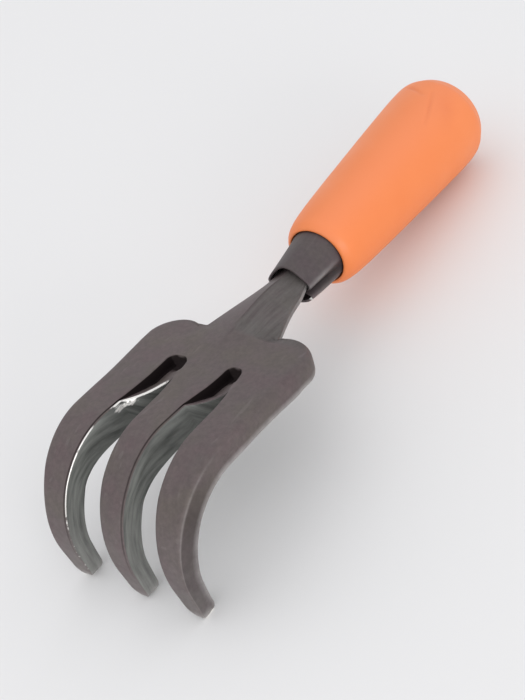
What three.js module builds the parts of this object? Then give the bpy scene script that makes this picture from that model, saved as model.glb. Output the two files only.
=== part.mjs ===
// Three-pronged hand cultivator: a pressed sheet-steel head, a thin steel ferrule and a moulded handle.
// Everything is drawn in the tool's own frame first: x runs from the handle towards the tines, y to the
// tool's left, z out of the top of the palm, with the origin on the ferrule's axis at its open mouth.
// At the end the whole tool is turned and lifted to how it rests: on its three tips and its butt.
import * as THREE from "three";

// Driving dimensions, in millimetres and degrees.
const sheet = 1.8;
const handlePitch = 4;
const palmHeight = 2.1;

const neckMouthHalf = 7.6;
const neckMiddleHalf = 13.1;
const neckEndHalf = 16.9;
const neckEnd = 34;
const neckEdgeDrop = 2.4;
const neckEndDrop = 2;
const neckBend = 1.2;
const flankSink = 1.4;
const neckCurve = 16;
const ridgeHeight = 5;
const ridgeFallsFrom = 12;
const ridgeFallsTo = 58;
const tangLength = 62;
const tangHalf = 6.2;
const tangDrop = 4.6;
const tangTaper = 20;

const palmHalf = 36.8;
const shoulderHalf = 39;
const shoulderLength = 12;
const shoulderDepth = 14.5;
const palmNarrowsTo = 74;
const palmBend = 6.8;
const palmFlange = 8.4;

const tinePitch = 27.1;
const middleOffset = 1;
const rootHalf = 9;
const kneeHalf = 6.5;
const tipHalf = 3.9;
const tineBend = 3.4;
const innerBend = 2.4;
const flangeFlares = [1.2, 2.8];
const kneeFlange = 8.4;
const tipFlange = 6.4;

const slotStart = 54.5;
const slotRound = 5;
const recessDepth = 4.6;
const openingStart = 66;
const ledgeEnds = [84, 78];

const bendStart = 89.2;
const kneeRadius = 33.6;
const kneeAngle = 60;
const clawRadius = 39;
const clawAngle = 41.5;
const tipLength = 14.8;
const tipRound = 2.4;

const ferruleShown = 20;
const ferruleHidden = 22;
const ferruleMouthRadius = 9.7;
const ferruleRimRadius = 11.8;
const ferruleWall = 1.1;

const handleLength = 112;
const handleFaceRadius = 12.5;
const handleShoulderRadius = 16.8;
const handleWaistRadius = 19.2;
const handleSwellRadius = 22;
const handleButtRadius = 20.6;
const handleSwellAt = 93;
const buttRound = 8;
const fit = 0.35;
const roundSides = 48;

const rad = THREE.MathUtils.degToRad;
const mix = THREE.MathUtils.lerp;
const ease = THREE.MathUtils.smoothstep;
const share = (v, from, to) => THREE.MathUtils.clamp((v - from) / (to - from), 0, 1);

// The head's side profile: where the middle of its top face is after s millimetres, and how far the
// face leans down there. The tang runs along the handle's own axis.
const knee = rad(kneeAngle);
const claw = rad(clawAngle);
const kneeEnd = bendStart + kneeRadius * knee;
const clawEnd = kneeEnd + clawRadius * claw;
const tipEnd = clawEnd + tipLength;

function along(s) {
  if (s < neckCurve) {
    const turn = rad(handlePitch);
    const radius = neckCurve / turn;
    const lean = (neckCurve - Math.max(s, 0)) / radius;
    const behind = Math.min(s, 0);
    return {
      x: neckCurve - radius * Math.sin(lean) + behind * Math.cos(turn),
      z: palmHeight + radius * (1 - Math.cos(lean)) - behind * Math.sin(turn),
      lean,
    };
  }
  const first = share(s, bendStart, kneeEnd) * knee;
  const lean = first + share(s, kneeEnd, clawEnd) * claw;
  const flat = Math.min(s, bendStart);
  const straight = Math.max(s - clawEnd, 0);
  return {
    x: flat + kneeRadius * Math.sin(first) + clawRadius * (Math.sin(lean) - Math.sin(first)) +
      straight * Math.cos(lean),
    z: palmHeight - kneeRadius * (1 - Math.cos(first)) - clawRadius * (Math.cos(first) - Math.cos(lean)) -
      straight * Math.sin(lean),
    lean,
  };
}

// A point of the head: s along the profile, y across it, h above the top face.
function onHead(s, y, h) {
  const at = along(s);
  return new THREE.Vector3(at.x + h * Math.sin(at.lean), y, at.z + h * Math.cos(at.lean));
}

// The last millimetres of a tine draw in to a blunt rounded end.
function roundOff(s) {
  const t = share(s, tipEnd - tipRound, tipEnd);
  return 0.6 * (1 - Math.sqrt(1 - t * t));
}

function tineHalf(s) {
  const upper = mix(rootHalf, kneeHalf, ease(s, openingStart, kneeEnd));
  return mix(upper, tipHalf, share(s, kneeEnd - 8, tipEnd)) - roundOff(s);
}

function tineDrop(s) {
  const upper = mix(palmFlange, kneeFlange, ease(s, openingStart, kneeEnd));
  return mix(upper, tipFlange, ease(s, kneeEnd, tipEnd)) - roundOff(s);
}

// Half width of the tang, the neck, the palm with its rounded shoulders and the outer tines.
function outline(s) {
  const tang = mix(neckMouthHalf, tangHalf, share(-s, 0, tangTaper));
  const neck = mix(tang, neckMiddleHalf, share(s, 0, neckEnd / 2));
  const flare = mix(neck, neckEndHalf, share(s, neckEnd / 2, neckEnd));
  if (s < neckEnd) {
    return flare;
  }
  const left = 1 - share(s, neckEnd, neckEnd + shoulderLength);
  const shoulder = shoulderHalf - shoulderDepth * (1 - Math.sqrt(1 - left * left));
  const palm = mix(shoulder, palmHalf, ease(s, neckEnd + shoulderLength, palmNarrowsTo));
  return mix(palm, tinePitch + tineHalf(s), ease(s, openingStart, kneeEnd + 12));
}

// How far the head's outer edges are turned down, and the radius they are turned down with.
function edgeDrop(s) {
  const neck = mix(mix(tangDrop, neckEdgeDrop, share(s, -tangTaper, 0)), neckEndDrop, share(s, 0, neckEnd));
  return mix(neck, tineDrop(s), ease(s, neckEnd, neckEnd + shoulderLength));
}

function edgeBend(s) {
  const palm = mix(neckBend, palmBend, ease(s, neckEnd, neckEnd + shoulderLength));
  return mix(palm, tineBend, ease(s, openingStart, kneeEnd + 12));
}

// Height of the neck's creased ridge above the palm's plane, less how far its sides fall away.
function ridge(s, y) {
  const high = ridgeHeight * (1 - ease(s, ridgeFallsFrom, ridgeFallsTo));
  const reach = Math.min(1, Math.abs(y) / outline(s));
  const sink = flankSink * (1 - ease(s, neckEnd - 3, neckEnd + 2)) * ease(s, -4, 6);
  return high * (1 - reach) - sink * Math.pow(reach, 1.5);
}

// Five points (y, h) from a flange's lower edge up round its bend to the flat; way is +1 towards +y.
function turnedDown(edge, way, drop, bend) {
  const r = Math.min(bend, drop * 0.75);
  return [
    [edge, -drop],
    [edge, -mix(r, drop, 0.3)],
    [edge + way * r * 0.29, -r * 0.29],
    [edge + way * r * 0.62, -r * 0.08],
    [edge + way * r * 1.05, 0],
  ];
}

// The slots' four edges at s, from the right tine's left edge to the left tine's right edge. In the palm
// they sit a little further left than the tines they run out between.
function slotEdges(s) {
  const half = tineHalf(s);
  const palm = 1 - ease(s, slotStart, kneeEnd);
  const slant = mix(1, -1.2, ease(s, slotStart + 4, 80)) * (1 - ease(s, 80, kneeEnd));
  const start = 1 - ease(s, slotStart, openingStart + 1);
  const ridgeOut = 1.2 * ease(s, ledgeEnds[1], kneeEnd) * (1 - ease(s, clawEnd, tipEnd));
  return [
    -tinePitch + half + 1.1 * palm + ridgeOut,
    middleOffset - half + 2.3 * palm - 2.3 * start,
    middleOffset + half + slant + ridgeOut,
    tinePitch - half + 1.9 * palm - 2.2 * start,
  ];
}

// The two sides of a slot at s: the left side of the tine on its right, then the right side of the tine
// on its left, five points each, in order across. A slot starts as a sunk recess with a rounded end. Its
// floor then narrows to a ledge along one tine and runs out where that tine's own flange takes over.
function slot(s, right, left, ledgeEnd, flangeFlare) {
  const middle = (right + left) / 2;
  const slotHalf = (left - right) / 2;
  const squeeze = outline(s) / shoulderHalf;
  if (s < slotStart) {
    const flat = [-1, -0.8, -0.6, 0.5, 0.62, 0.72, 0.79, 0.86, 0.93, 1];
    return flat.map((f) => [(middle + f * slotHalf) * squeeze, 0]);
  }
  const inside = share(s, slotStart, slotStart + slotRound);
  const wide = slotHalf * mix(0.45, 1, Math.sqrt(1 - (1 - inside) ** 2));
  const sunk = recessDepth * mix(0.1, 1, Math.sqrt(inside));
  const run = share(s, openingStart, ledgeEnd);
  const step = sunk * (1 - run);
  const ledge = (2 * wide - 2.1) * (1 - run);
  const hang = mix(sunk, tineDrop(s), ease(s, openingStart - 1, openingStart + 9));
  const flare = flangeFlare * ease(s, openingStart + 2, openingStart + 14) * (1 - ease(s, 92, kneeEnd));
  const wall = middle - wide;
  const far = middle + wide;
  const stepped = [
    [wall, 0],
    [wall + 0.3, -step * 0.3],
    [wall + 0.9, -step],
    [wall + 0.9 + ledge, -step],
    [wall + 1.2 + ledge + flare, -hang],
  ];
  const steep = [
    [far - 0.6, -hang],
    [far - 0.5, -hang * 0.75],
    [far - 0.4, -hang * 0.4],
    [far - 0.2, -hang * 0.1],
    [far, 0],
  ];
  const plain = turnedDown(wall, -1, hang, innerBend).reverse();
  plain[4][0] += flare;
  plain[3][0] += flare * 0.25;
  const plainFar = turnedDown(far, 1, hang, innerBend);
  const free = ease(s, ledgeEnd - 10, ledgeEnd + 4);
  const freeFar = ease(s, openingStart - 1, openingStart + 9);
  return [
    ...stepped.map((p, i) => [mix(p[0], plain[i][0], free), mix(p[1], plain[i][1], free)]),
    ...steep.map((p, i) => [mix(p[0], plainFar[i][0], freeFar), mix(p[1], plainFar[i][1], freeFar)]),
  ];
}

// All points (y, h) across the head at s, from its right edge to its left edge.
function section(s) {
  const bend = Math.min(edgeBend(s), tineHalf(s) * 0.8);
  const right = turnedDown(-outline(s), 1, edgeDrop(s), bend);
  const left = turnedDown(outline(s), -1, edgeDrop(s), bend).reverse();
  const edges = slotEdges(s);
  const slots = [0, 1].map((k) => slot(s, edges[2 * k], edges[2 * k + 1], ledgeEnds[k], flangeFlares[k]));
  const row = [...right];
  for (const next of [slots[0], slots[1], left]) {
    const from = row[row.length - 1];
    row.push([(from[0] + next[0][0]) / 2, (from[1] + next[0][1]) / 2]);
    row.push(...next);
  }
  return row.map(([y, h]) => [y, h + ridge(s, y)]);
}

// Gives a grid of points a thickness below it; open(i, j) says which of its cells are left out.
function thicken(rows, thickness, open) {
  const across = rows[0].length;
  const cells = [];
  for (let i = 0; i + 1 < rows.length; i++) {
    for (let j = 0; j + 1 < across; j++) {
      if (!open(i, j)) {
        cells.push([i * across + j, (i + 1) * across + j, (i + 1) * across + j + 1, i * across + j + 1]);
      }
    }
  }
  const top = rows.flat();
  const normals = top.map(() => new THREE.Vector3());
  for (const cell of cells) {
    const p = cell.map((k) => top[k]);
    const normal = p[2].clone().sub(p[0]).cross(p[3].clone().sub(p[1])).normalize();
    cell.forEach((k) => normals[k].add(normal));
  }
  const under = top.map((p, k) => p.clone().addScaledVector(normals[k].normalize(), -thickness));
  const points = [...top, ...under];
  const index = [];
  const edges = new Map();
  for (const [a, b, c, d] of cells) {
    index.push(a, b, c, a, c, d);
    const [e, f, g, h] = [a, b, c, d].map((k) => k + top.length);
    index.push(e, g, f, e, h, g);
    for (const [from, to] of [[a, b], [b, c], [c, d], [d, a]]) {
      if (!edges.delete(to + "," + from)) {
        edges.set(from + "," + to, [from, to]);
      }
    }
  }
  for (const [from, to] of edges.values()) {
    index.push(to, from, from + top.length, to, from + top.length, to + top.length);
  }
  const used = [...new Set(index)];
  const place = new Map(used.map((k, n) => [k, n]));
  const geometry = new THREE.BufferGeometry();
  const places = used.flatMap((k) => points[k].toArray());
  geometry.setAttribute("position", new THREE.Float32BufferAttribute(places, 3));
  geometry.setIndex(index.map((k) => place.get(k)));
  return geometry;
}

// Stations along the head, closer together where its shape changes quickly.
function stations() {
  const list = [];
  const run = (from, to, count) => {
    for (let i = 0; i < count; i++) {
      list.push(mix(from, to, i / count));
    }
  };
  run(-tangLength, 0, 6);
  run(0, neckEnd, 9);
  for (let i = 0; i < 8; i++) {
    list.push(neckEnd + shoulderLength * (1 - Math.cos((Math.PI / 2) * (i / 8))));
  }
  run(neckEnd + shoulderLength, slotStart, 2);
  run(slotStart, slotStart + slotRound, 4);
  run(slotStart + slotRound, openingStart, 2);
  run(openingStart, ledgeEnds[0], 8);
  run(ledgeEnds[0], bendStart, 1);
  run(bendStart, clawEnd, 20);
  run(clawEnd, tipEnd - tipRound, 4);
  run(tipEnd - tipRound, tipEnd, 3);
  list.push(tipEnd);
  return list;
}

function headGeometry() {
  const list = stations();
  const rows = list.map((s) => section(s).map(([y, h]) => onHead(s, y, h)));
  const gaps = [10, 21];
  return thicken(rows, sheet, (i, j) => list[i] >= openingStart - 1e-6 && gaps.includes(j));
}

// A closed ring or plug turned about the handle's axis; each point is [distance behind the mouth, radius].
function turned(profile) {
  const points = profile.map(([back, r]) => new THREE.Vector2(r, -back));
  const geometry = new THREE.LatheGeometry(points, roundSides);
  return geometry.rotateZ(-Math.PI / 2).rotateY(rad(handlePitch));
}

function ferruleGeometry() {
  const end = ferruleShown + ferruleHidden;
  return turned([
    [0.3, ferruleMouthRadius - ferruleWall],
    [ferruleShown, ferruleRimRadius - ferruleWall],
    [end, ferruleRimRadius - ferruleWall],
    [end, ferruleRimRadius],
    [ferruleShown, ferruleRimRadius],
    [0.4, ferruleMouthRadius],
    [0, ferruleMouthRadius - 0.4],
    [0, ferruleMouthRadius - ferruleWall + 0.2],
    [0.3, ferruleMouthRadius - ferruleWall],
  ]);
}

function handleGeometry() {
  const face = ferruleShown;
  const butt = face + handleLength;
  const bore = ferruleRimRadius + fit;
  const boreEnd = face + ferruleHidden + fit;
  const tangBore = palmHeight + ridgeHeight + 1.2;
  const side = new THREE.SplineCurve([
    new THREE.Vector2(face, handleFaceRadius),
    new THREE.Vector2(face + 1, handleFaceRadius + 1.7),
    new THREE.Vector2(face + 4.5, handleShoulderRadius - 0.6),
    new THREE.Vector2(face + 15, handleShoulderRadius + 0.5),
    new THREE.Vector2(face + 42, handleWaistRadius),
    new THREE.Vector2(face + handleSwellAt, handleSwellRadius),
    new THREE.Vector2(butt - buttRound, handleButtRadius),
    new THREE.Vector2(butt - buttRound * 0.3, handleButtRadius * 0.78),
    new THREE.Vector2(butt, handleButtRadius * 0.35),
  ]);
  return turned([
    [butt, 0],
    ...side.getPoints(40).map((p) => [p.x, p.y]).reverse(),
    [face, bore],
    [boreEnd, bore],
    [boreEnd, tangBore],
    [face + ferruleHidden + tangLength * 0.5, tangBore],
    [face + ferruleHidden + tangLength * 0.5, 0],
  ]);
}

const steel = (shade) => new THREE.MeshStandardMaterial({ color: shade, roughness: 0.5, metalness: 0.55 });
const orange = new THREE.MeshStandardMaterial({ color: 0xf4905e, roughness: 0.5, metalness: 0 });

const pieces = [
  ["head", headGeometry(), steel(0x6e6464)],
  ["ferrule", ferruleGeometry(), steel(0x58504f)],
  ["handle", handleGeometry(), orange],
];

const tool = new THREE.Group();
for (const [name, geometry, material] of pieces) {
  geometry.computeVertexNormals();
  const mesh = new THREE.Mesh(geometry, material);
  mesh.name = name;
  tool.add(mesh);
}

// The lean at which the handle's underside and the tips touch the same level floor, found by halving.
function gapBelow(name, lean) {
  const points = tool.getObjectByName(name).geometry.getAttribute("position");
  let low = Infinity;
  for (let i = 0; i < points.count; i++) {
    low = Math.min(low, points.getZ(i) * Math.cos(lean) - points.getX(i) * Math.sin(lean));
  }
  return low;
}

let steepest = -0.6;
let shallowest = 0;
for (let i = 0; i < 40; i++) {
  const lean = (steepest + shallowest) / 2;
  if (gapBelow("head", lean) < gapBelow("handle", lean)) {
    shallowest = lean;
  } else {
    steepest = lean;
  }
}

tool.rotation.y = steepest;
tool.updateMatrixWorld(true);
const box = new THREE.Box3().setFromObject(tool, true);
tool.position.set(-(box.min.x + box.max.x) / 2, -(box.min.y + box.max.y) / 2, -box.min.z);
tool.updateMatrixWorld(true);

const group = new THREE.Group();
group.name = "hand_cultivator";
group.add(tool);

export default group;
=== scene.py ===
"""Looks of a three-pronged hand cultivator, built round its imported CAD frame.

Shapes are worked out in the tool's own frame, in millimetres: x runs from the ferrule's mouth towards the
tines, y to the tool's left and z out of the top of the palm. Each mesh is then turned to how the tool
rests in the row frame, in metres.
"""
import math

import bpy
import numpy as np
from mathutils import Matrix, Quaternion, Vector, kdtree


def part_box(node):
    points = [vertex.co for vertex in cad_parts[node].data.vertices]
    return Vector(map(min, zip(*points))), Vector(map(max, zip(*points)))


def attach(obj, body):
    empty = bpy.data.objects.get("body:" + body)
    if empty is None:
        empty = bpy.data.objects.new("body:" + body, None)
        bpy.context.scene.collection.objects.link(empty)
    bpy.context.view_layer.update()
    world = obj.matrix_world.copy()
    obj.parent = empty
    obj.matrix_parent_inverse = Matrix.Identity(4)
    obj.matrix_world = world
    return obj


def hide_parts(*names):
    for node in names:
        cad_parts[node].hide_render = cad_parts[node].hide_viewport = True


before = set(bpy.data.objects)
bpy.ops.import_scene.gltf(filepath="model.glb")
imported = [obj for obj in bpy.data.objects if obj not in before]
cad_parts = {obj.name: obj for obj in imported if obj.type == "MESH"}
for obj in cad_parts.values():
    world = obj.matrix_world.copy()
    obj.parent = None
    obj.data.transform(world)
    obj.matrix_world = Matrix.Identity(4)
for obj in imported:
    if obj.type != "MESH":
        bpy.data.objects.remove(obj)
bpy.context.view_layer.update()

# ---------------------------------------------------------------- driving dimensions, millimetres, degrees
LEAN = -10.1042
HANDLE_PITCH = 4
SHEET = 1.8
PALM_HEIGHT = 2.1
EDGE_ROUND = 0.45

# The neck with its ridge, and the tang behind it that the ferrule and the handle hide.
NECK_MOUTH_HALF = 7.6
NECK_MIDDLE_RIGHT = 12.3
NECK_MIDDLE_LEFT = 11.5
NECK_END_RIGHT = 16.2
NECK_END_LEFT = 17.6
NECK_END = 35.2
NECK_CURVE = 16
RIDGE_AT_MOUTH = 3.7
RIDGE_HEIGHT = 4.8
RIDGE_FALLS = (14, 60)
FLANK_SINK_LEFT = 1.9
FLANK_SINK_RIGHT = 0.6
FLANK_ENDS = (34, 38)
CREASE_ROUND = 0.2
NECK_BEND = 1.0
NECK_DROP = (2.6, 2.2)
TANG_LENGTH = 62
TANG_HALF = 6.2
TANG_DROP = 4.6

# The shoulders, whose right and left sides differ a little.
BACK_EDGE_RIGHT = 36.2
BACK_EDGE_LEFT = 34.3
SHOULDER_HALF = 38.3
SWELL_RIGHT = 3.4
SWELL_LEFT = 2.0
LOBE_MIDDLE = (44.5, 25.5)
# Where the arc of each shoulder begins, in radians from its rearmost point.
LOBE_BEGINS_RIGHT = -0.45
LOBE_BEGINS_LEFT = -0.25

# The palm and the tines: half widths, how widely their edges are rounded and how far they hang down.
PALM_HALF = 36.8
PALM_NARROWS_TO = 74
PALM_BEND = 7.5
PALM_FLANGE = 8.4

TINE_PITCH = 27.1
MIDDLE_OFFSET = 1.0
ROOT_HALF = 9
KNEE_HALF = 6.5
TIP_HALF = 3.9
TINE_BEND = 4.5
TIP_BEND = 1.6
INNER_BEND = 2.4
KNEE_FLANGE = 9.4
TIP_FLANGE = 6.4

# The slots between the tines. Each starts as a sunk recess, then opens beside a ledge.
SLOT_START = 54.5
SLOT_ROUND = 3.5
SLOT_START_SHARE = 0.25
RECESS_DEPTH = 4.6
RECESS_SINKS_IN = 2
FLOOR_RISES = (3.2, 8)
OPENING_START = 67.3
LEDGE_ENDS = (84, 78)
LEDGE_WIDTH = 0.5
LEDGE_STEP = 0.4
# How much each slot's ledge wears; its bare metal is painted bright as a highlight too.
LEDGE_WEAR_AND_GLINT = (1.0, 0.4)
# How far the slots' edges stand off the tines' own lines on the palm, and how far they draw in at the start.
EDGE_SHIFTS = (1.1, 1.7, 1.9)
MIDDLE_SLANT = (1.0, -1.2)
START_DRAWN_IN = (1.7, 2.2)

# The bends along the head, from the palm to the rounded tips.
BEND_START = 89.2
KNEE_RADIUS = 33.6
KNEE_ANGLE = 60
CLAW_RADIUS = 39
CLAW_ANGLE = 41.5
TIP_LENGTH = 14.8
STRAIGHT_FROM = 50
CURVED_ROWS = 130
LIP_STEPS = 6
TIP_ROUND = 6
TIP_FAR_IN = 3.4
TIP_NEAR_IN = 1.0
TIP_SLOPE = 0.12
FLARE = 3.2
# Wear on the ledges' edges and just below them, as (place along the head, amount) pairs. The bare metal there
# is painted bright enough to stand in also for the highlight along the bend.
EDGE_WEAR_AND_GLINT = ((66, 0), (67.5, 0.75), (74, 0.95), (86, 0.9), (90, 0.66), (95, 0.4), (100, 0.65),
             (106, 0.95), (131, 0.9), (138, 0.6), (146, 0.5), (160, 0.45))
SIDE_WEAR_AND_GLINT = ((74, 0), (79, 0.6), (86, 0.62), (91, 0))

# The ferrule, measured back from its mouth. Its hidden part is as long as the handle's bore is deep.
FERRULE_SHOWN = 20
FERRULE_HIDDEN = 22
FERRULE_MOUTH = 9.7
FERRULE_RIM = 11.8
FERRULE_WALL = 1.1
FERRULE_TAIL = 8
FERRULE_RINGS = 20
MOUTH_STEPS = 6
MOUTH_ROUND = 0.35
COLLAR_SIDES = 180
# The pinched mouth, as (degrees above the middle of a side, change of radius) pairs.
PINCH = ((-75, 0), (-50, 0.3), (-36, 0.55), (-29, 0.35), (-25, -0.6), (-21, -2.2), (-16, -2.6),
         (-10, -2.2), (-2, -0.2), (4, 0.7), (9, 0.8), (20, 0.1), (34, -0.6), (52, -0.75),
         (72, -0.3), (90, 0.1))
GROOVE_TURN = (-27, 3)
LIP_CUT = 2.2
UPPER_RIDGE = (7, 5)
LOWER_RIDGE = (-42, 9)
BARE_CORNER = (-44, 8)

# The handle's radii, and where its waist and its swell lie behind its front face.
HANDLE_LENGTH = 112
HANDLE_FACE = 12.5
HANDLE_SHOULDER = 16.8
HANDLE_WAIST = 19.2
HANDLE_SWELL = 22
HANDLE_BUTT = 20.6
WAIST_AT = 42
SWELL_AT = 93
BUTT_ROUND = 8
BORE_GAP = 0.35
HANDLE_SIDES = 200
HANDLE_RINGS = 170
KNOT_STEPS = 40
# Flow marks as (start, end, depth, width), each end as (distance behind the ferrule's mouth, degrees round).
FLOW_MARKS = (((119, 119), (110.5, 80), 0.6, 0.8),
              ((114, 72), (95, 53), 0.5, 0.7),
              ((117, 60), (104, 36), 0.5, 4))
# Where round the grip the painted highlight band lies and how wide it is, in degrees.
HIGHLIGHT_TURN = 60
HIGHLIGHT_WIDTH = 26


# ---------------------------------------------------------------- small helpers
def mix(a, b, t):
    return a + (b - a) * t


def share(v, low, high):
    return min(max((v - low) / (high - low), 0.0), 1.0)


def ease(v, low, high):
    t = share(v, low, high)
    return t * t * (3 - 2 * t)


def to_row(points, offset=(0, 0, 0)):
    """Points of the tool's frame turned to how the tool rests, still in millimetres."""
    lean = math.radians(LEAN)
    p = np.asarray(points, float)
    x = p[:, 0] * math.cos(lean) + p[:, 2] * math.sin(lean)
    z = -p[:, 0] * math.sin(lean) + p[:, 2] * math.cos(lean)
    return np.column_stack([x, p[:, 1], z]) + np.asarray(offset)


def make_piece(name, points, faces, node, marks, material):
    """One closed mesh in the row frame that stands for a CAD node. Its marks drive its material."""
    mesh = bpy.data.meshes.new(name)
    mesh.from_pydata((to_row(points, tool_offset) * 0.001).tolist(), [], faces)
    mesh.validate()
    for key, values in marks.items():
        layer = mesh.attributes.new(key, "FLOAT", "POINT")
        layer.data.foreach_set("value", np.asarray(values, np.float32))
    mesh.polygons.foreach_set("use_smooth", [True] * len(mesh.polygons))
    mesh.update()
    mesh.materials.append(material)
    piece = bpy.data.objects.new(name, mesh)
    bpy.context.collection.objects.link(piece)
    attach(piece, "root")
    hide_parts(node)


# ---------------------------------------------------------------- handle and ferrule, turned about one axis
def on_axis(back, radius, angle):
    """A point at a distance behind the ferrule's mouth and round the handle's axis."""
    pitch = math.radians(HANDLE_PITCH)
    up = radius * math.sin(angle)
    x = -back * math.cos(pitch) + up * math.sin(pitch)
    z = back * math.sin(pitch) + up * math.cos(pitch)
    return (x, radius * math.cos(angle), z)


def turned(profile, sides, shape=None):
    """A closed turned mesh from (back, radius) pairs. A radius of zero closes an end with one point."""
    points = []
    rings = []
    for back, radius in profile:
        if radius < 1e-6:
            rings.append([len(points)])
            points.append(on_axis(back, 0, 0))
            continue
        ring = []
        for k in range(sides):
            angle = 2 * math.pi * k / sides
            change = shape(back, radius, angle) if shape else (0, 0)
            ring.append(len(points))
            points.append(on_axis(back + change[0], radius + change[1], angle))
        rings.append(ring)
    faces = []
    pairs = list(zip(rings, rings[1:]))
    if len(rings[0]) > 1:
        pairs.append((rings[-1], rings[0]))
    for a, b in pairs:
        for k in range(sides):
            n = (k + 1) % sides
            if len(a) == 1:
                faces.append((a[0], b[n], b[k]))
            elif len(b) == 1:
                faces.append((a[k], a[n], b[0]))
            else:
                faces.append((a[k], a[n], b[n], b[k]))
    return points, faces


def smooth_line(knots, steps):
    """Points on a Catmull-Rom curve through the knots."""
    knots = [np.array(k, float) for k in knots]
    ends = [2 * knots[0] - knots[1], *knots, 2 * knots[-1] - knots[-2]]
    out = []
    for a, b, c, d in zip(ends, ends[1:], ends[2:], ends[3:]):
        for i in range(steps):
            t = i / steps
            out.append(0.5 * ((2 * b) + (c - a) * t + (2 * a - 5 * b + 4 * c - d) * t * t
                              + (3 * b - a - 3 * c + d) * t ** 3))
    out.append(knots[-1])
    return [tuple(p) for p in out]


def handle_profile():
    """The handle's outline and its blind bore, from the butt's middle to the bore's end."""
    face = FERRULE_SHOWN
    butt = face + HANDLE_LENGTH
    side = smooth_line([
        (face, HANDLE_FACE),
        (face + 0.9, HANDLE_FACE + 1.4),
        (face + 4.5, HANDLE_SHOULDER - 1.0),
        (face + 15, HANDLE_SHOULDER + 0.5),
        (face + WAIST_AT, HANDLE_WAIST),
        (face + SWELL_AT, HANDLE_SWELL),
        (butt - BUTT_ROUND, HANDLE_BUTT),
        (butt - BUTT_ROUND * 0.3, HANDLE_BUTT * 0.78),
        (butt, HANDLE_BUTT * 0.35),
    ], KNOT_STEPS)
    walked = np.r_[0, np.cumsum(np.linalg.norm(np.diff(side, axis=0), axis=1))]
    places = np.linspace(0, walked[-1], HANDLE_RINGS)
    side = list(zip(*(np.interp(places, walked, column) for column in np.transpose(side))))
    bore = FERRULE_RIM + BORE_GAP
    deep = face + FERRULE_HIDDEN
    return [(butt, 0), *side[::-1], (face + 0.3, bore + 0.2), (face + 1, bore), (deep, bore), (deep, 0)]


def ferrule_shape(back, radius, angle):
    """The mouth is pinched on both sides of the neck: an upper ridge, a groove under it and a lower lip."""
    fade = (1 - share(back, 0, FERRULE_SHOWN)) ** 0.6
    turn = side_turn(angle)
    around, change = zip(*PINCH)
    cut = LIP_CUT * ease(-turn, 16, 40) * (1 - share(back, 0, 9))
    return (cut, float(np.interp(turn, around, change)) * fade)


def side_turn(angle):
    """Degrees above or below the middle of the left or right side, whichever is nearer."""
    return math.degrees(math.asin(max(-1, min(1, math.sin(angle)))))


def hump(value, middle, width):
    return math.exp(-((value - middle) / width) ** 2)


def groove_shade(back, angle):
    """How much painted shade a point of the ferrule gets: its pressed grooves are painted dark, most of all
    at the mouth.
    """
    low, high = GROOVE_TURN
    inside = max(0, 1 - ((side_turn(angle) - (low + high) / 2) / ((high - low) / 2)) ** 2)
    return inside ** 0.5 * mix(0.95, 0.6, share(back, 2, FERRULE_SHOWN))


def handle_shape(back, radius, angle):
    """Small flow marks of the moulding near the butt: two thin creases and one broad shallow hollow."""
    if radius < HANDLE_FACE:
        return (0, 0)
    around = math.degrees(angle)
    sink = 0
    for start, end, depth, width in FLOW_MARKS:
        p, a, b = (np.array([k[0], math.radians(k[1]) * radius]) for k in ((back, around), start, end))
        t = min(max((p - a) @ (b - a) / ((b - a) @ (b - a)), 0), 1)
        fade = 1 - 0.6 * abs(2 * t - 1)
        sink += depth * fade * math.exp(-(np.linalg.norm(p - mix(a, b, t)) / width) ** 2)
    return (0, -sink)


def ridge_highlight(back, angle):
    """Painted highlights along the ferrule's ridges and its lower lips."""
    turn = side_turn(angle)
    fade = 1 - share(back, FERRULE_SHOWN * 0.5, FERRULE_SHOWN)
    return 0.5 * fade * (hump(turn, *UPPER_RIDGE) + hump(turn, *LOWER_RIDGE))


def bare_glint_spot(back, angle):
    """The front corners of the lower lips are worn to bare metal, painted bright enough to stand in for a
    glint as well.
    """
    return 0.95 * hump(side_turn(angle), *BARE_CORNER) * (1 - share(back, 0.2, 1.4))


def make_handle():
    """The orange grip, with a painted highlight band along one side and painted shade in its flow marks'
    dents.
    """
    profile = handle_profile()
    points, faces = turned(profile, HANDLE_SIDES, handle_shape)
    angles = 360 * np.arange(HANDLE_SIDES) / HANDLE_SIDES
    # A painted highlight band along one side of the grip.
    highlight_profile = np.exp(-((angles - HIGHLIGHT_TURN) / HIGHLIGHT_WIDTH) ** 2)
    painted_highlight = [value for _, radius in profile for value in (highlight_profile if radius > 1e-6 else [0])]
    # How far the flow marks sink each point, which sets their painted shade.
    sunk = [-handle_shape(back, radius, math.radians(angle))[1]
            for back, radius in profile for angle in (angles if radius > 1e-6 else [0])]
    marks = {"painted_highlight": painted_highlight, "sunk": sunk}
    make_piece("grip", points, faces, "handle", marks, plastic_material())


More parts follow.
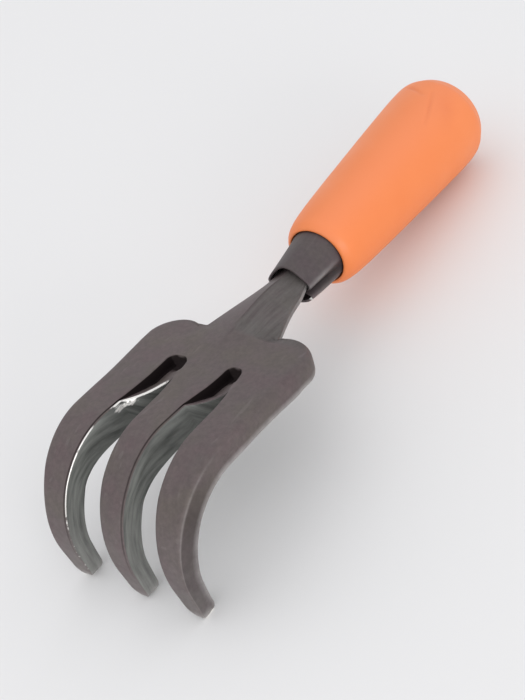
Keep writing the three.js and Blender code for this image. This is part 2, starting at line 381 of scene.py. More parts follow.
def make_ferrule():
    """The thin tapered collar, rounded at its mouth, with a short tail inside the handle."""
    outer = [(FERRULE_SHOWN * (k / FERRULE_RINGS), mix(FERRULE_MOUTH, FERRULE_RIM, k / FERRULE_RINGS))
             for k in range(1, FERRULE_RINGS + 1)]
    outer.append((FERRULE_SHOWN + FERRULE_TAIL, FERRULE_RIM))
    half_wall = FERRULE_WALL / 2
    mouth = []
    for k in range(MOUTH_STEPS + 1):
        turn = math.pi * k / MOUTH_STEPS
        back = MOUTH_ROUND - MOUTH_ROUND * math.sin(turn)
        mouth.append((back, FERRULE_MOUTH - half_wall + half_wall * math.cos(turn)))
    inner = [(b, r - FERRULE_WALL) for b, r in outer]
    profile = outer[::-1] + mouth + inner
    points, faces = turned(profile, COLLAR_SIDES, ferrule_shape)
    places = [(back, 2 * math.pi * k / COLLAR_SIDES) for back, _ in profile for k in range(COLLAR_SIDES)]
    # The grooves get painted shade, the ridges and lower lips painted highlights, and the lips' front corners
    # bare metal painted bright as a glint.
    marks = {"painted_shade": [groove_shade(*place) for place in places],
             "rim": [ridge_highlight(*place) for place in places],
             "wear_and_glint": [bare_glint_spot(*place) for place in places]}
    material = steel_material("collar_steel", COLLAR_DARK, COLLAR_LIGHT, COLLAR_SIDE)
    make_piece("collar", points, faces, "ferrule", marks, material)


# ---------------------------------------------------------------- the pressed head
KNEE_END = BEND_START + KNEE_RADIUS * math.radians(KNEE_ANGLE)
CLAW_END = KNEE_END + CLAW_RADIUS * math.radians(CLAW_ANGLE)
TIP_END = CLAW_END + TIP_LENGTH

# Steps in a section's rounded corners and edges, and in the flats between them.
ARC = 4
EDGE_ARC = 8
EDGE_FLATS = (4, 1)
SECTION_FLATS = (8, 2, 4, 5, 2, 4, 16, 2, 4, 5, 2, 4, 8)
SLOT_CORNERS = 6
FIRST_CORNERS = (0, SLOT_CORNERS)


def along(s):
    """The middle of the head's top face after s millimetres: x, z and how far it leans down there."""
    if s < NECK_CURVE:
        turn = math.radians(HANDLE_PITCH)
        radius = NECK_CURVE / turn
        lean = (NECK_CURVE - max(s, 0)) / radius
        behind = min(s, 0)
        x = NECK_CURVE - radius * math.sin(lean) + behind * math.cos(turn)
        z = PALM_HEIGHT + radius * (1 - math.cos(lean)) - behind * math.sin(turn)
        return x, z, lean
    first = share(s, BEND_START, KNEE_END) * math.radians(KNEE_ANGLE)
    lean = first + share(s, KNEE_END, CLAW_END) * math.radians(CLAW_ANGLE)
    straight = max(s - CLAW_END, 0)
    x = (min(s, BEND_START) + KNEE_RADIUS * math.sin(first)
         + CLAW_RADIUS * (math.sin(lean) - math.sin(first)) + straight * math.cos(lean))
    z = (PALM_HEIGHT - KNEE_RADIUS * (1 - math.cos(first))
         - CLAW_RADIUS * (math.cos(first) - math.cos(lean)) - straight * math.sin(lean))
    return x, z, lean


def round_off(s, depth, length=TIP_ROUND):
    """How far an edge has drawn in near a tine's rounded end."""
    t = share(s, TIP_END - length, TIP_END)
    return depth * (1 - math.sqrt(1 - t * t))


def tine_half(s):
    """Half a tine's width at s."""
    upper = mix(ROOT_HALF, KNEE_HALF, ease(s, OPENING_START, KNEE_END))
    return mix(upper, TIP_HALF, share(s, KNEE_END - 8, TIP_END))


def tine_drop(s):
    """How far the flanges hang down at s."""
    upper = mix(PALM_FLANGE, KNEE_FLANGE, ease(s, OPENING_START, KNEE_END))
    return mix(upper, TIP_FLANGE, ease(s, KNEE_END, TIP_END)) * (1 - round_off(s, 0.5, TIP_ROUND * 0.6))


def outer_half(s, way):
    """Half the head's width at s, beyond the shoulders."""
    palm = mix(SHOULDER_HALF, PALM_HALF, ease(s, LOBE_MIDDLE[0], PALM_NARROWS_TO))
    end = round_off(s, TIP_FAR_IN) if way < 0 else round_off(s, TIP_NEAR_IN)
    return mix(palm, TINE_PITCH + tine_half(s), ease(s, OPENING_START, KNEE_END + 12)) - end


def slot_edges(s):
    """The slots' four edges at s, from the right tine's left edge to the left tine's right edge."""
    half = tine_half(s)
    palm = 1 - ease(s, 60, KNEE_END)
    slant = mix(*MIDDLE_SLANT, ease(s, 58, 80)) * (1 - ease(s, 80, KNEE_END))
    start = 1 - ease(s, SLOT_START, OPENING_START + 1)
    near, far = round_off(s, TIP_NEAR_IN), round_off(s, TIP_FAR_IN)
    return (-TINE_PITCH + half + EDGE_SHIFTS[0] * palm - near,
            MIDDLE_OFFSET - half + EDGE_SHIFTS[1] * palm + far - START_DRAWN_IN[0] * start,
            MIDDLE_OFFSET + half + slant - near,
            TINE_PITCH - half + EDGE_SHIFTS[2] * palm + far - START_DRAWN_IN[1] * start)


def fillets(corners, arc, flats):
    """Points along a line of corners (a, b, setback), each inner corner drawn round from its setback."""
    most = 0.47
    c = [np.array(k[:2], float) for k in corners]
    out = [c[0]]
    last = c[0]
    for k in range(1, len(c) - 1):
        before = np.linalg.norm(c[k - 1] - c[k]) + 1e-9
        after = np.linalg.norm(c[k + 1] - c[k]) + 1e-9
        start = c[k] + (c[k - 1] - c[k]) * min(corners[k][2], before * most) / before
        end = c[k] + (c[k + 1] - c[k]) * min(corners[k][2], after * most) / after
        out += [mix(last, start, i / flats[k - 1]) for i in range(1, flats[k - 1])]
        for i in range(arc + 1):
            t = i / arc
            out.append(start * (1 - t) ** 2 + c[k] * 2 * t * (1 - t) + end * t * t)
        last = end
    out += [mix(last, c[-1], i / flats[-1]) for i in range(1, flats[-1] + 1)]
    return out


def stations():
    """Places of the straight rows, closer together where the shape changes quickly."""
    return np.concatenate([
        np.linspace(STRAIGHT_FROM, SLOT_START - 0.12, 7),
        np.linspace(SLOT_START, SLOT_START + SLOT_ROUND, 22)[:-1],
        np.linspace(SLOT_START + SLOT_ROUND, OPENING_START, 11)[:-1],
        np.linspace(OPENING_START, BEND_START, 38)[:-1],
        np.linspace(BEND_START, CLAW_END, 80)[:-1],
        np.linspace(CLAW_END, TIP_END - TIP_ROUND, 16)[:-1],
        TIP_END - TIP_ROUND + TIP_ROUND * np.sin(np.linspace(0, math.pi / 2, 13)),
    ])


def outline(way):
    """One side's outline as (s, half width) points from the tang to the tip, and its inward directions."""
    back, swell, neck_middle, neck_end, begins = (
        (BACK_EDGE_LEFT, SWELL_LEFT, NECK_MIDDLE_LEFT, NECK_END_LEFT, LOBE_BEGINS_LEFT) if way > 0
        else (BACK_EDGE_RIGHT, SWELL_RIGHT, NECK_MIDDLE_RIGHT, NECK_END_RIGHT, LOBE_BEGINS_RIGHT))
    across = SHOULDER_HALF - LOBE_MIDDLE[1]
    length = LOBE_MIDDLE[0] - back + swell
    lobe = [(LOBE_MIDDLE[0] - length * math.cos(turn), LOBE_MIDDLE[1] + across * math.sin(turn))
            for turn in np.linspace(begins, math.pi / 2, 40)]
    curve = np.vstack([fillets([
        (-TANG_LENGTH, TANG_HALF, 1),
        (-20, TANG_HALF, 3),
        (0, NECK_MOUTH_HALF, 3),
        (NECK_END / 2, neck_middle, 7),
        (back - 0.6, neck_end, 3.5),
        (*lobe[0], 1),
    ], 12, [2] * 5), lobe[1:], [(STRAIGHT_FROM, outer_half(STRAIGHT_FROM, way))]])
    walked = np.r_[0, np.cumsum(np.linalg.norm(np.diff(curve, axis=0), axis=1))]
    shown = TANG_LENGTH - 4
    places = np.r_[np.linspace(0, shown, 12)[:-1], np.linspace(shown, walked[-1], CURVED_ROWS)[:-1]]
    first = np.column_stack([np.interp(places, walked, curve[:, k]) for k in (0, 1)])
    line = np.vstack([first, [(s, outer_half(s, way)) for s in stations()]])
    heading = np.gradient(line, axis=0)
    heading /= np.linalg.norm(heading, axis=1)[:, None]
    return line, np.column_stack([heading[:, 1], -heading[:, 0]])


def on_palm(s, half):
    """How far an outline point has gone from the neck, 0, round the shoulder to the palm's side, 1."""
    return max(ease(half, NECK_END_LEFT + 1, SHOULDER_HALF + 3.5), ease(s, NECK_END + 3, STRAIGHT_FROM + 2))


def edge_drop(s, half):
    """How far the outer edge hangs down at an outline point."""
    neck = mix(TANG_DROP, NECK_DROP[0], share(s, -12, 0)) if s < 0 else mix(*NECK_DROP, share(s, 0, NECK_END))
    return mix(neck, tine_drop(s), on_palm(s, half))


def edge_bend(s, half):
    """How widely the outer edge is rounded at an outline point."""
    palm = mix(NECK_BEND, PALM_BEND, on_palm(s, half))
    tine = mix(TINE_BEND, TIP_BEND, ease(s, KNEE_END - 6, CLAW_END))
    return mix(palm, tine, ease(s, OPENING_START, KNEE_END))


def slot_corners(s, wall, far, ledge_end):
    """Corners (y, height, setback) across one slot, from the tine on its right to the one on its left.
    It starts as a sunk recess. Its floor narrows to a ledge along one tine and ends at that tine's side."""
    middle = (wall + far) / 2
    inside = share(s, SLOT_START, SLOT_START + SLOT_ROUND)
    wide = (far - wall) / 2 * mix(SLOT_START_SHARE, 1, math.sqrt(1 - (1 - inside) ** 2))
    sunk = RECESS_DEPTH * math.sqrt(share(s, SLOT_START, SLOT_START + RECESS_SINKS_IN))
    run = share(s, OPENING_START, ledge_end)
    groove = LEDGE_STEP * ease(TIP_END - s, 10, 26)
    step = mix(sunk, groove, run)
    ledge = mix(2 * wide - 1.5, LEDGE_WIDTH, run)
    risen = ease(s, SLOT_START + FLOOR_RISES[0], SLOT_START + FLOOR_RISES[1])
    edge = step * (1 - risen * ledge / (2 * wide - 0.7))
    deep = tine_drop(s) + 1.2 * (1 - ease(s, 90, KNEE_END))
    hang = sunk * (1 - risen) + deep * ease(s, OPENING_START - 1.5, OPENING_START + 7)
    flare = FLARE * ease(s, OPENING_START + 2, OPENING_START + 14) * (1 - ease(s, 92, KNEE_END))
    free = ease(s, OPENING_START - 1, OPENING_START + 9)
    wall = middle - wide - 0.9 * run
    far = middle + wide
    foot = wall + mix(0.7, 0.35, run)
    return [
        (wall, 0, 0.6),
        (foot, -step, mix(1.1, 0.15, run)),
        (foot + ledge, -edge - 0.05, mix(1.0, 0.6, run)),
        (foot + ledge + 0.3 + flare, -hang, 0.1),
        (far - mix(0.3, 0.0, free), -hang, 0.1),
        (far, 0, mix(0.8, INNER_BEND, free)),
    ]


def relief(s, y):
    """Height added to the top face: the neck's creased ridge, its sunk flanks and the rounded tips."""
    high = mix(RIDGE_AT_MOUTH, RIDGE_HEIGHT, ease(s, 0, 12)) * (1 - ease(s, *RIDGE_FALLS))
    half = mix(NECK_MOUTH_HALF, NECK_END_RIGHT, share(s, 0, NECK_END)) + 9 * ease(s, NECK_END, NECK_END + 14)
    reach = min(1.0, (math.hypot(y, CREASE_ROUND) - CREASE_ROUND) / half)
    side = FLANK_SINK_LEFT if y > 0 else FLANK_SINK_RIGHT
    within = 1 - ease(abs(y), NECK_END_LEFT - 2, NECK_END_LEFT + 3)
    neck = (1 - ease(s, *FLANK_ENDS)) * ease(s, -4, 6) * within
    sink = side * reach ** 1.5 * neck
    return high * (1 - reach) - sink - round_off(s, 0.9)


def head_rows():
    """Rows of (s, y, height) points across the head's top face, from its right edge to its left edge."""
    sides = [outline(-1), outline(1)]
    total = len(sides[0][0])
    straight = total - len(stations())
    lead = sides[0][0][:, 0] + sides[0][1][:, 0] * [edge_bend(*point) for point in sides[0][0]]
    fan_from = int(np.argmax(sides[0][0][:, 0] > 20))
    fan = np.linspace(lead[fan_from], STRAIGHT_FROM, straight - fan_from + 1)
    reach = outer_half(STRAIGHT_FROM, 1)
    resting = [(k[0] + reach) / (2 * reach)
               for pair in ((0, 1), (2, 3))
               for k in slot_corners(STRAIGHT_FROM, slot_edges(STRAIGHT_FROM)[pair[0]],
                                     slot_edges(STRAIGHT_FROM)[pair[1]], LEDGE_ENDS[0])]
    rows = []
    for i in range(total):
        rims = []
        ends = []
        for way, (line, inward) in zip((-1, 1), sides):
            bend = edge_bend(*line[i])
            drop = edge_drop(*line[i])
            profile = fillets([(0, -drop, 0), (0, 0, min(bend, drop * 0.9)), (bend * 1.05, 0, 0)],
                              EDGE_ARC, EDGE_FLATS)
            place = [line[i] + inward[i] * d for d, _ in profile]
            rims.append([(p[0], way * p[1], h) for p, (_, h) in zip(place, profile)])
            ends.append((place[-1][0], way * place[-1][1]))
        (s_right, y_right), (s_left, y_left) = ends
        if i < straight:
            corners = [(mix(y_right, y_left, f), 0, 0.5) for f in [0, *resting, 1]]
        else:
            s = line[i][0]
            edges = slot_edges(s)
            corners = [(y_right, 0, 0), *slot_corners(s, edges[0], edges[1], LEDGE_ENDS[0]),
                       *slot_corners(s, edges[2], edges[3], LEDGE_ENDS[1]), (y_left, 0, 0)]
        row = rims[0][:-1]
        for y, h in fillets(corners, ARC, SECTION_FLATS):
            v = (2 * y - y_right - y_left) / (y_left - y_right)
            s = mix(s_right, s_left, (v + 1) / 2)
            if fan_from <= i < straight:
                s += (fan[i - fan_from] - mix(s_right, s_left, 0.5)) * (1 - v * v)
            row.append((s, y, h))
        rows.append(row + rims[1][-2::-1])
    return np.array(rows)


def corner_columns(corner):
    """First and last column of the arc that rounds one of a section's inner corners."""
    rim = EDGE_FLATS[0] + EDGE_ARC
    start = rim + sum(SECTION_FLATS[:corner + 1]) + corner * ARC
    return start, start + ARC


def make_head():
    """The claw: a sheet laid along the head's bent middle line, open between the tines."""
    rows = head_rows()
    total, across = rows.shape[:2]
    points = []
    for s, y, h in rows.reshape(-1, 3):
        x, z, lean = along(s - TIP_SLOPE * min(h, 0) * ease(s, TIP_END - TIP_ROUND, TIP_END - 1))
        h += relief(s, y)
        points.append((x + h * math.sin(lean), y, z + h * math.cos(lean)))
    gaps = [range(corner_columns(first + 3)[0] + ARC // 2, corner_columns(first + 4)[0] + ARC // 2)
            for first in FIRST_CORNERS]
    cells = [(i * across + j, (i + 1) * across + j, (i + 1) * across + j + 1, i * across + j + 1)
             for i in range(total - 1) for j in range(across - 1)
             if rows[i, j, 0] < OPENING_START - 1e-6 or not any(j in gap for gap in gaps)]
    marks = {key: values.ravel() for key, values in head_marks(rows).items()}
    verts, faces, marks = thick_sheet(np.array(points), np.array(cells), marks)
    material = steel_material("head_coating", HEAD_DARK, HEAD_LIGHT, HEAD_SIDE)
    make_piece("claw", verts, faces, "head", marks, material)


def raised_to(values, where, amount):
    """Lifts the chosen columns of a mark to at least the amount."""
    values[:, where] = np.maximum(values[:, where], amount)


def head_marks(rows):
    """What the material reads at each point: wear with painted glints, flange tint, painted shade, rubbed
    rims with painted highlights and the streaks' places.
    """
    s, y, h = np.moveaxis(rows, 2, 0)
    wear_and_glint = np.interp(s, [TIP_END - 6, TIP_END - 1.5, TIP_END], [0, 0.5, 0.95])
    side = 0.36 * np.interp(y, [0, 0.5], [0, 1]) * np.interp(s, [NECK_END, NECK_END + 2.5], [1, 0])
    painted_shade = np.zeros_like(s)
    for first, ledge_end, worn in zip(FIRST_CORNERS, LEDGE_ENDS, LEDGE_WEAR_AND_GLINT):
        wall_top, foot, ledge, _, _, far = [corner_columns(first + k) for k in range(SLOT_CORNERS)]
        # Bare metal on the ledges' edges and the strip below, painted bright to stand in also for the
        # highlight along the bend.
        edge = slice(ledge[0] + 1, ledge[1] + 1)
        raised_to(wear_and_glint, edge, worn * np.interp(s[:, edge], *zip(*EDGE_WEAR_AND_GLINT)))
        below = slice(ledge[1] + 1, ledge[1] + 3)
        raised_to(wear_and_glint, below, worn * np.interp(s[:, below], *zip(*SIDE_WEAR_AND_GLINT)))
        hanging = slice(ledge[1], far[0])
        raised_to(side, hanging, np.interp(s[:, hanging], [OPENING_START - 1, OPENING_START + 2], [0, 1]))
        # Painted shade darkens each slot's wall along the tine on its right, from the recess down towards the
        # tip.
        wall = slice(wall_top[1], foot[1] + 1)
        painted_shade[:, wall] = np.interp(
            s[:, wall],
            [SLOT_START, SLOT_START + 1, ledge_end, ledge_end + 4, TIP_END - 30, TIP_END - 12],
            [0, 1, 1, 0.75, 0.5, 0])
    # Painted shade fills the sunk recess at each slot's start.
    sunk = np.interp(-h, [0.1, 0.4], [0, 1]) * (np.abs(y) < TINE_PITCH)
    recess_shade = np.interp(s - SLOT_START, [-1, -0.9, 3, 5], [0, 0.85, 0.85, 0])
    painted_shade = np.maximum(painted_shade, sunk * recess_shade)
    # Painted shade darkens the neck's half on the tool's left, the side turned from the light.
    flank_shade = side * 0.4 * (s < NECK_END + 2)
    painted_shade = np.maximum(painted_shade, flank_shade)
    # A thin line of painted shade runs along the neck's crease.
    crease_shade = 0.4 * np.exp(-(y / 0.5) ** 2) * np.interp(s, [2, 6, 30, 50], [0, 1, 0.8, 0])
    painted_shade = np.maximum(painted_shade, crease_shade)
    # Painted shade darkens the left outer flange towards the knees, where it is turned from the light.
    left_side = slice(-EDGE_FLATS[0] - EDGE_ARC // 2, None)
    raised_to(painted_shade, left_side, np.interp(s[:, left_side], [KNEE_END - 25, KNEE_END - 5], [0, 0.42]))

    # Lighter towards the tines' tips, partly rubbed paint and partly painted light; the outline's lower edges
    # and the left bend's crest get painted highlights.
    rim = np.interp(s, [KNEE_END - 5, CLAW_END, TIP_END - 5, TIP_END - 2, TIP_END], [0, 0.22, 0.35, 0.9, 1.5])
    rim[:, [0, -1]] = 1
    rim[:, [1, -2]] = 0.5
    crest = -1 - EDGE_FLATS[0] - EDGE_ARC // 2
    rim[:, crest] = np.interp(
        s[:, crest], [BEND_START, KNEE_END - 8, TIP_END - 3, TIP_END], [0, 0.3, 0.4, 0.9])
    # Painted highlights along the neck's edges.
    neck_edge_highlight = np.interp(s, [NECK_END, NECK_END + 2], [0.7, 0])
    for edge in (slice(None, 5), slice(-5, None)):
        raised_to(rim, edge, neck_edge_highlight[:, edge])
    return {"wear_and_glint": wear_and_glint, "side": side, "painted_shade": painted_shade, "rim": rim, "along": s / 1000, "depth": (y + h) / 1000}


def thick_sheet(points, cells, marks):
    """Gives the sheet its thickness and a rounded edge all round, as one closed mesh."""
    p = points[cells]
    cell_normals = np.cross(p[:, 2] - p[:, 0], p[:, 3] - p[:, 1])
    normals = np.zeros_like(points)
    for k in range(4):
        np.add.at(normals, cells[:, k], cell_normals)
    used = np.unique(cells)
    place = {int(k): n for n, k in enumerate(used)}
    points = points[used]
    normals = normals[used]
    marks = {key: values[used] for key, values in marks.items()}
    cells = [tuple(place[int(k)] for k in cell) for cell in cells]

    # The underside follows directions evened out over the sheet's thickness, so it never folds over itself.
    tree = kdtree.KDTree(len(points))
    for n, point in enumerate(points):
        tree.insert(point, n)
    tree.balance()
    reach = SHEET * 0.85
    even = np.array([normals[[n for _, n, _ in tree.find_range(point, reach)]].sum(axis=0)
                     for point in points])
    even /= np.linalg.norm(even, axis=1)[:, None]
    under = points - even * SHEET
    total = len(points)

    border = {}
    for cell in cells:
        for pair in zip(cell, cell[1:] + cell[:1]):
            if border.pop(pair[::-1], None) is None:
                border[pair] = True
    outward = np.zeros_like(points)
    for a, b in border:
        out = np.cross(points[b] - points[a], normals[a] / np.linalg.norm(normals[a]))
        out /= np.linalg.norm(out)
        outward[a] += out
        outward[b] += out

    verts = [*points, *under]
    faces = [face for cell in cells for face in (cell, tuple(k + total for k in cell[::-1]))]
    marks = {key: [*values, *[1.0 if key == "side" else 0.0] * total] for key, values in marks.items()}
    lips = {}
    for k in sorted({k for pair in border for k in pair}):
        out = outward[k] / np.linalg.norm(outward[k])
        ring = [k]
        for n in range(1, LIP_STEPS):
            turn = math.pi * n / LIP_STEPS
            ring.append(len(verts))
            verts.append(mix(points[k], under[k], (1 - math.cos(turn)) / 2)
                         + out * EDGE_ROUND * min(1.0, 1.4 * math.sin(turn)))
            for key, values in marks.items():
                values.append(values[k])
        lips[k] = [*ring, k + total]
    for a, b in border:
        for a0, a1, b0, b1 in zip(lips[a], lips[a][1:], lips[b], lips[b][1:]):
            faces.append((b0, a0, a1, b1))
    return verts, faces, marks


# ---------------------------------------------------------------- materials
# Painted shade for recesses, grooves, creases and flanges turned from the light.
PAINTED_SHADE_COLOUR = (0.012, 0.009, 0.009)
# Rubbed paint, also used for painted highlights on edges and ridges.
RUBBED_AND_HIGHLIGHT = (0.42, 0.4, 0.39)
SCRATCHED = (0.3, 0.28, 0.27)
# Bare metal, bright enough to stand in for glints as well.
BARE_AND_GLINT = (0.85, 0.83, 0.79)
HEAD_DARK = (0.085, 0.066, 0.064)
HEAD_LIGHT = (0.11, 0.085, 0.082)
HEAD_SIDE = (0.13, 0.135, 0.124)
COLLAR_DARK = (0.064, 0.049, 0.05)
COLLAR_LIGHT = (0.084, 0.066, 0.067)
COLLAR_SIDE = (0.1, 0.1, 0.1)
ORANGE_DARK = (0.8, 0.208, 0.053)
ORANGE_LIGHT = (0.825, 0.234, 0.067)
# Painted highlight band along the grip.
ORANGE_HIGHLIGHT = (0.82, 0.234, 0.08)
# Painted shade in the flow marks' dents.
ORANGE_DENT_SHADE = (0.62, 0.13, 0.035)
FLOOR_PALE = (0.8, 0.8, 0.79, 1)


def link(tree, a, b):
    tree.links.new(a, b)


def new_material(name):
    """An empty node material: its tree, its shader and the point's own place in the mesh."""
    material = bpy.data.materials.new(name)
    material.use_nodes = True
    tree = material.node_tree
    tree.nodes.clear()
    out = tree.nodes.new("ShaderNodeOutputMaterial")
    shader = tree.nodes.new("ShaderNodeBsdfPrincipled")
    link(tree, shader.outputs["BSDF"], out.inputs["Surface"])
    place = tree.nodes.new("ShaderNodeTexCoord").outputs["Object"]
    return material, tree, shader, place


def noise(tree, place, scale, detail=4, rough=0.55, stretch=None):
    node = tree.nodes.new("ShaderNodeTexNoise")
    node.inputs["Scale"].default_value = scale
    node.inputs["Detail"].default_value = detail
    node.inputs["Roughness"].default_value = rough
    if stretch:
        mapping = tree.nodes.new("ShaderNodeMapping")
        mapping.inputs["Scale"].default_value = stretch
        link(tree, place, mapping.inputs["Vector"])
        place = mapping.outputs["Vector"]
    link(tree, place, node.inputs["Vector"])
    return node.outputs["Fac"]


def ramp(tree, value, stops):
    node = tree.nodes.new("ShaderNodeValToRGB")
    while len(node.color_ramp.elements) < len(stops):
        node.color_ramp.elements.new(0.5)
    for element, (at, shade) in zip(node.color_ramp.elements, stops):
        element.position = at
        element.color = (*shade, 1) if not isinstance(shade, (int, float)) else (shade, shade, shade, 1)
    link(tree, value, node.inputs["Fac"])
    return node.outputs["Color"]


def feed(tree, socket, value):
    """Sets a socket to a number or a colour, or links it to another node's output."""
    if isinstance(value, (int, float)):
        socket.default_value = value
    elif isinstance(value, tuple):
        socket.default_value = (*value, 1)
    else:
        link(tree, value, socket)


def math_node(tree, kind, a, b):
    node = tree.nodes.new("ShaderNodeMath")
    node.operation = kind
    feed(tree, node.inputs[0], a)
    feed(tree, node.inputs[1], b)
    return node.outputs[0]


def blend_color(tree, factor, a, b, kind="MIX"):
    node = tree.nodes.new("ShaderNodeMix")
    node.data_type = "RGBA"
    node.blend_type = kind
    feed(tree, node.inputs[0], factor)
    feed(tree, node.inputs[6], a)
    feed(tree, node.inputs[7], b)
    return node.outputs[2]


def attribute(tree, name):
    node = tree.nodes.new("ShaderNodeAttribute")
    node.attribute_name = name
    return node.outputs["Fac"]


def bump(tree, height, strength, distance, normal=None):
    node = tree.nodes.new("ShaderNodeBump")
    node.inputs["Strength"].default_value = strength
    node.inputs["Distance"].default_value = distance
    link(tree, height, node.inputs["Height"])
    if normal is not None:
        link(tree, normal, node.inputs["Normal"])
    return node.outputs["Normal"]


def steel_material(name, dark, light, side):
    """Satin coating over steel. The mesh's marks say where shade is painted, where edges are rubbed and
    painted with highlights, and where it is worn through to bare metal painted bright as glints.
    """
    material, tree, shader, place = new_material(name)
    cloud = noise(tree, place, 38, 5, 0.6)
    colour = ramp(tree, cloud, [(0.3, dark), (0.7, light)])
    tone = ramp(tree, noise(tree, place, 75, 3, 0.5),
                [(0.35, (1.07, 0.96, 1.02)), (0.5, (1, 1, 1)), (0.65, (0.96, 1.02, 0.92))])
    colour = blend_color(tree, 0.8, colour, tone, "MULTIPLY")
    speckle = ramp(tree, noise(tree, place, 480, 4, 0.7), [(0.35, 0.88), (0.65, 1.12)])
    colour = blend_color(tree, 1.0, colour, speckle, "MULTIPLY")
    scratch = ramp(tree, noise(tree, place, 420, 2, 0.5, (0.05, 1, 1)), [(0.66, 0.0), (0.72, 0.09)])
    colour = blend_color(tree, scratch, colour, SCRATCHED)

    flat = tree.nodes.new("ShaderNodeCombineXYZ")
    link(tree, attribute(tree, "along"), flat.inputs["X"])
    link(tree, attribute(tree, "depth"), flat.inputs["Y"])
    streak = noise(tree, flat.outputs["Vector"], 520, 5, 0.62, (0.08, 1, 1))
    side_dark = tuple(c * 0.5 for c in side)
    side_light = tuple(c * 1.45 for c in side)
    tint = ramp(tree, streak, [(0.34, side_dark), (0.5, side), (0.66, side_light)])
    colour = blend_color(tree, attribute(tree, "side"), colour, tint)
    # Painted shade: a near-black colour laid over the marked places.
    painted_shade = attribute(tree, "painted_shade")
    colour = blend_color(tree, painted_shade, colour, PAINTED_SHADE_COLOUR)
    # Rims get lighter, partly rubbed paint and partly painted highlights.
    edge = math_node(tree, "MULTIPLY", attribute(tree, "rim"), noise(tree, place, 120, 4, 0.6))
    colour = blend_color(tree, edge, colour, RUBBED_AND_HIGHLIGHT)

    # Worn-through places go to bare metal, painted bright enough to stand in for glints as well.
    patch = noise(tree, place, 420, 5, 0.7, (0.35, 1, 1))
    raised = math_node(tree, "ADD", attribute(tree, "wear_and_glint"), math_node(tree, "MULTIPLY", patch, 1.6))
    bare = ramp(tree, math_node(tree, "MULTIPLY", raised, 0.5), [(0.68, 0.0), (0.76, 1.0)])
    link(tree, blend_color(tree, bare, colour, BARE_AND_GLINT), shader.inputs["Base Color"])
    rough = ramp(tree, cloud, [(0.3, 0.5), (0.7, 0.64)])
    link(tree, blend_color(tree, bare, rough, (0.3, 0.3, 0.3)), shader.inputs["Roughness"])
    metal = blend_color(tree, bare, (0.1, 0.1, 0.1), (0.6, 0.6, 0.6))
    link(tree, metal, shader.inputs["Metallic"])
    # Painted shade also takes the specular level away, so those places stay dark.
    gloss = blend_color(tree, painted_shade, (0.5, 0.5, 0.5), (0.02, 0.02, 0.02))
    link(tree, gloss, shader.inputs["Specular IOR Level"])
    normal = bump(tree, noise(tree, place, 900, 3, 0.6), 0.25, 0.0002)
    link(tree, bump(tree, cloud, 0.2, 0.0008, normal), shader.inputs["Normal"])
    return material


def plastic_material():
    """Satin orange moulding, faintly mottled, with a fine grain."""
    material, tree, shader, place = new_material("orange_plastic")
    cloud = noise(tree, place, 22, 4, 0.6)
    grain = noise(tree, place, 1400, 3, 0.6)
    colour = ramp(tree, cloud, [(0.3, ORANGE_DARK), (0.7, ORANGE_LIGHT)])
    # Painted highlight along one side of the grip.
    colour = blend_color(tree, attribute(tree, "painted_highlight"), colour, ORANGE_HIGHLIGHT)
    # Painted shade in the flow marks' dents, darker where they sink deeper.
    depth = math_node(tree, "MULTIPLY", attribute(tree, "sunk"), 0.45)
    colour = blend_color(tree, depth, colour, ORANGE_DENT_SHADE)
    link(tree, colour, shader.inputs["Base Color"])
    rough = ramp(tree, noise(tree, place, 60, 5, 0.65), [(0.3, 0.4), (0.7, 0.52)])
    link(tree, rough, shader.inputs["Roughness"])
    link(tree, bump(tree, grain, 0.15, 0.0002), shader.inputs["Normal"])
    return material


# ---------------------------------------------------------------- camera, floor and light
# Metres and degrees, with the lens and its sensor in millimetres.
AZIMUTH = 140.41
ELEVATION = 39.49
ROLL = -25.84
DISTANCE = 0.5121
AIM = (0.01665, -0.01433, 0.01028)
LENS = 64.99
SENSOR = 36
FLOOR_HALF = 8.0
WORLD_COLOUR = (0.97, 0.97, 1, 1)
WORLD_STRENGTH = 0.98


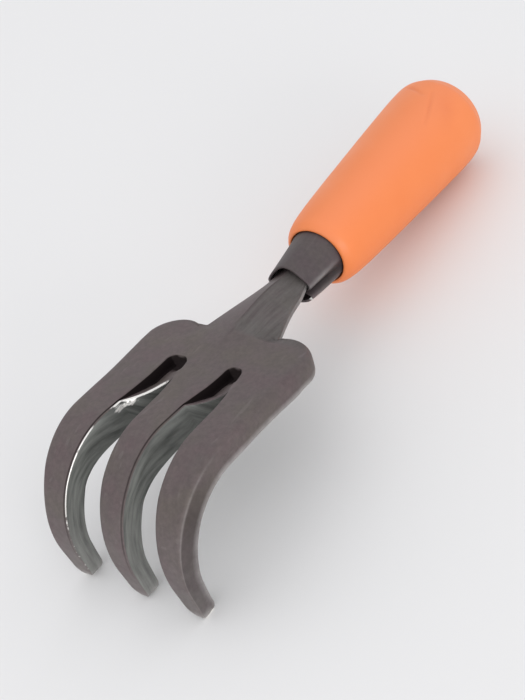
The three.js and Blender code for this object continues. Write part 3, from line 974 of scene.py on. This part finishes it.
def make_camera():
    data = bpy.data.cameras.new("camera")
    data.sensor_width = SENSOR
    data.lens = LENS
    data.clip_start = 0.01
    data.clip_end = 20
    camera = bpy.data.objects.new("camera", data)
    bpy.context.collection.objects.link(camera)
    around, up = math.radians(AZIMUTH), math.radians(ELEVATION)
    back = Vector((math.sin(around) * math.cos(up), -math.cos(around) * math.cos(up), math.sin(up)))
    camera.location = Vector(AIM) + back * DISTANCE
    camera.rotation_mode = "QUATERNION"
    rolled = Quaternion((0, 0, 1), math.radians(ROLL))
    camera.rotation_quaternion = (-back).to_track_quat("-Z", "Y") @ rolled
    bpy.context.scene.camera = camera


def make_light(name, towards, distance, size, power):
    """A round soft light, placed in a direction from the tool and turned to face it."""
    data = bpy.data.lights.new(name, "AREA")
    data.shape = "DISK"
    data.size = size
    data.energy = power
    light = bpy.data.objects.new(name, data)
    bpy.context.collection.objects.link(light)
    way = Vector(towards).normalized()
    light.location = way * distance
    light.rotation_mode = "QUATERNION"
    light.rotation_quaternion = (-way).to_track_quat("-Z", "Y")


def make_floor():
    mesh = bpy.data.meshes.new("floor")
    corners = [(x * FLOOR_HALF, y * FLOOR_HALF, 0) for x, y in ((-1, -1), (1, -1), (1, 1), (-1, 1))]
    mesh.from_pydata(corners, [], [(0, 1, 2, 3)])
    floor = bpy.data.objects.new("floor", mesh)
    bpy.context.collection.objects.link(floor)
    material, _, shader, _ = new_material("pale_floor")
    shader.inputs["Base Color"].default_value = FLOOR_PALE
    shader.inputs["Roughness"].default_value = 0.8
    mesh.materials.append(material)


def make_world():
    world = bpy.data.worlds.new("studio")
    world.use_nodes = True
    background = world.node_tree.nodes["Background"]
    background.inputs["Color"].default_value = WORLD_COLOUR
    background.inputs["Strength"].default_value = WORLD_STRENGTH
    bpy.context.scene.world = world
    bpy.context.scene.view_settings.view_transform = "Standard"


make_camera()
make_world()
make_light("key", towards=(-0.1, -0.35, 1.0), distance=1.4, size=1.1, power=1)
make_light("fill", towards=(0.5, 1.0, 0.12), distance=1.6, size=1.0, power=12)
make_floor()

# The middle of the handle's box places the tool's own frame in the row frame, in millimetres.
plain_handle = to_row(turned(handle_profile(), HANDLE_SIDES)[0])
low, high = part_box("handle")
middle = (np.array(low) + np.array(high)) * 500
tool_offset = middle - (plain_handle.min(axis=0) + plain_handle.max(axis=0)) / 2

make_handle()
make_ferrule()
make_head()
